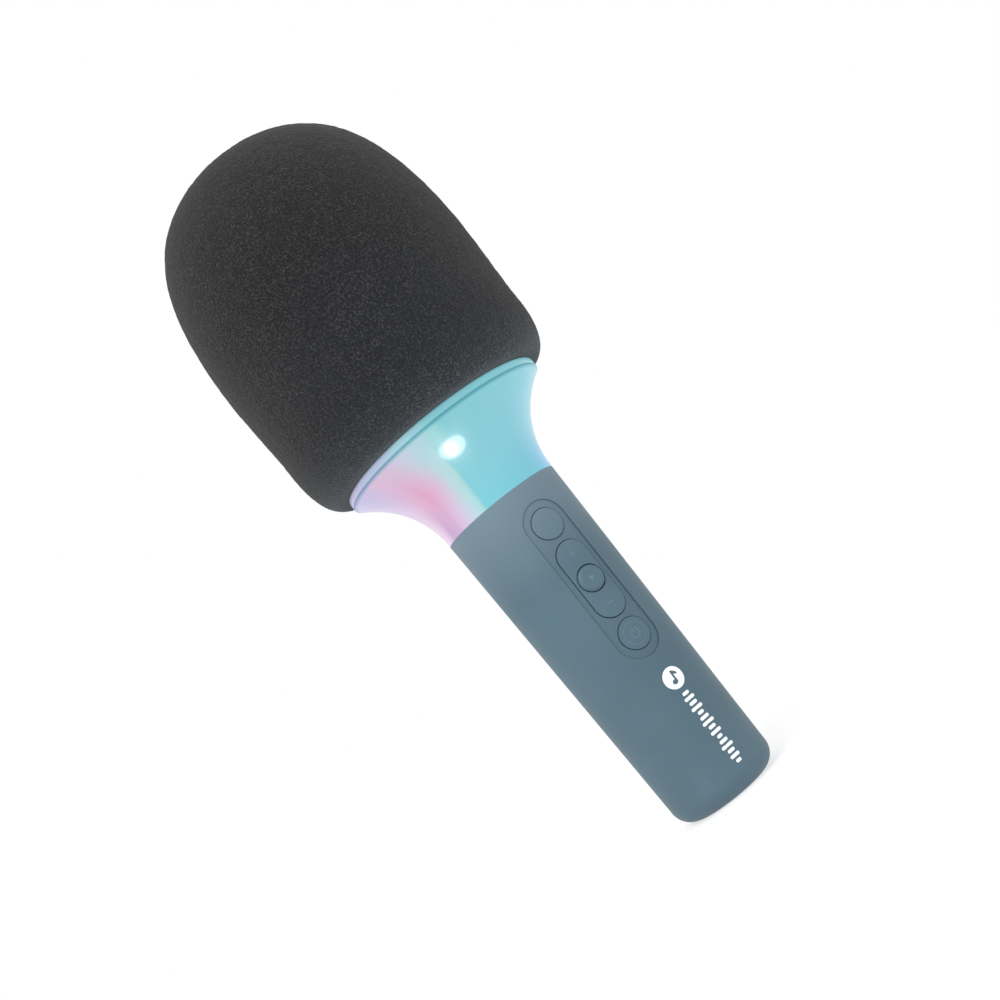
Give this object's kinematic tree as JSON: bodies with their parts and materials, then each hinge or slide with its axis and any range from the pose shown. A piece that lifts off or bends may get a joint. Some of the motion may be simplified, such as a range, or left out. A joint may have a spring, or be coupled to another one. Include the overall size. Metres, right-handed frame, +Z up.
{
  "type": "toy microphone",
  "caption": "Toy karaoke microphone: tapered grip with keys, translucent light-up collar, speaker and capsule in a caged head under a pull-off foam windscreen.",
  "frame": {"origin": "centre of the flat base of the grip, at the bottom of the whole object", "axes": "+Z up the microphone from the base to the windscreen, -Y the way the keys face, +X to the right when looking at the keys from the front"},
  "size_m": [0.0884, 0.0884, 0.24],
  "materials": {
    "grip_plastic": "matte",
    "key_plastic": "matte",
    "collar_plastic": "gloss",
    "foam": "matte",
    "white_plastic": "satin",
    "black_plastic": "satin",
    "cage_plastic": "satin",
    "mesh_cloth": "matte",
    "circuit_board": "satin",
    "steel": "satin",
    "magnet": "satin",
    "copper": "satin",
    "paper_cone": "matte",
    "rubber": "matte",
    "cell_wrap": "satin",
    "wire_sleeve": "satin",
    "led": "gloss"
  },
  "bodies": {
    "handle": {"grip_sleeve": "grip_plastic", "key_panel": "key_plastic", "switch_housings": "black_plastic", "volume_plungers": "black_plastic", "key_bracket": "white_plastic", "main_board": "circuit_board", "board_screws": "steel", "board_chips": "black_plastic", "wire_connectors": "white_plastic", "usb_socket": "steel", "chassis": "white_plastic", "battery_cell": "cell_wrap", "battery_tabs": "steel", "battery_clip": "white_plastic", "battery_leads": "wire_sleeve", "speaker_leads": "wire_sleeve", "light_lead": "wire_sleeve", "mic_lead": "wire_sleeve", "light_collar": "collar_plastic", "rim_ring": "collar_plastic", "neck_core": "white_plastic", "neck_screws": "steel", "led_board": "circuit_board", "led_emitters": "led", "led_board_screws": "steel", "head_deck": "black_plastic", "head_screws": "steel", "speaker_frame": "steel", "speaker_top_plate": "steel", "speaker_magnet": "magnet", "speaker_yoke": "steel", "speaker_surround": "rubber", "speaker_spider": "mesh_cloth", "speaker_gasket": "rubber", "capsule_bridge": "black_plastic", "bridge_screws": "steel", "capsule_boot": "rubber", "mic_capsule": "steel", "grille_cage": "cage_plastic", "mesh_liner": "mesh_cloth"},
    "windscreen": {"foam_windscreen": "foam"},
    "mode_key": {"mode_key": "key_plastic", "mode_plunger": "black_plastic"},
    "power_key": {"power_key": "key_plastic", "power_plunger": "black_plastic"},
    "play_key": {"play_key": "key_plastic", "play_plunger": "black_plastic"},
    "volume_rocker": {"volume_rocker": "key_plastic"},
    "speaker_diaphragm": {"speaker_cone": "paper_cone", "dust_cap": "paper_cone", "voice_coil": "copper"}
  },
  "joints": [
    {"name": "windscreen_pull", "type": "slide", "parent": "handle", "child": "windscreen", "axis": [0, 0, 1], "range_m": [0, 0.1]},
    {"name": "mode_key_press", "type": "slide", "parent": "handle", "child": "mode_key", "axis": [0, 1, 0], "range_m": [0, 0.0004], "stiffness_N_per_m": 300},
    {"name": "power_key_press", "type": "slide", "parent": "handle", "child": "power_key", "axis": [0, 1, 0], "range_m": [0, 0.0004], "stiffness_N_per_m": 300},
    {"name": "play_key_press", "type": "slide", "parent": "handle", "child": "play_key", "axis": [0, 1, 0], "range_m": [0, 0.0004], "stiffness_N_per_m": 300},
    {"name": "volume_rocker_tilt", "type": "hinge", "parent": "handle", "child": "volume_rocker", "pos_m": [0, -0.0134, 0.0725], "axis": [1, 0, 0], "range_deg": [-1.8, 1.8], "stiffness_Nm_per_rad": 0.02},
    {"name": "speaker_diaphragm_travel", "type": "slide", "parent": "handle", "child": "speaker_diaphragm", "axis": [0, 0, 1], "range_m": [-0.0008, 0.0008], "stiffness_N_per_m": 600, "deforming": ["speaker_surround", "speaker_spider"]}
  ]
}
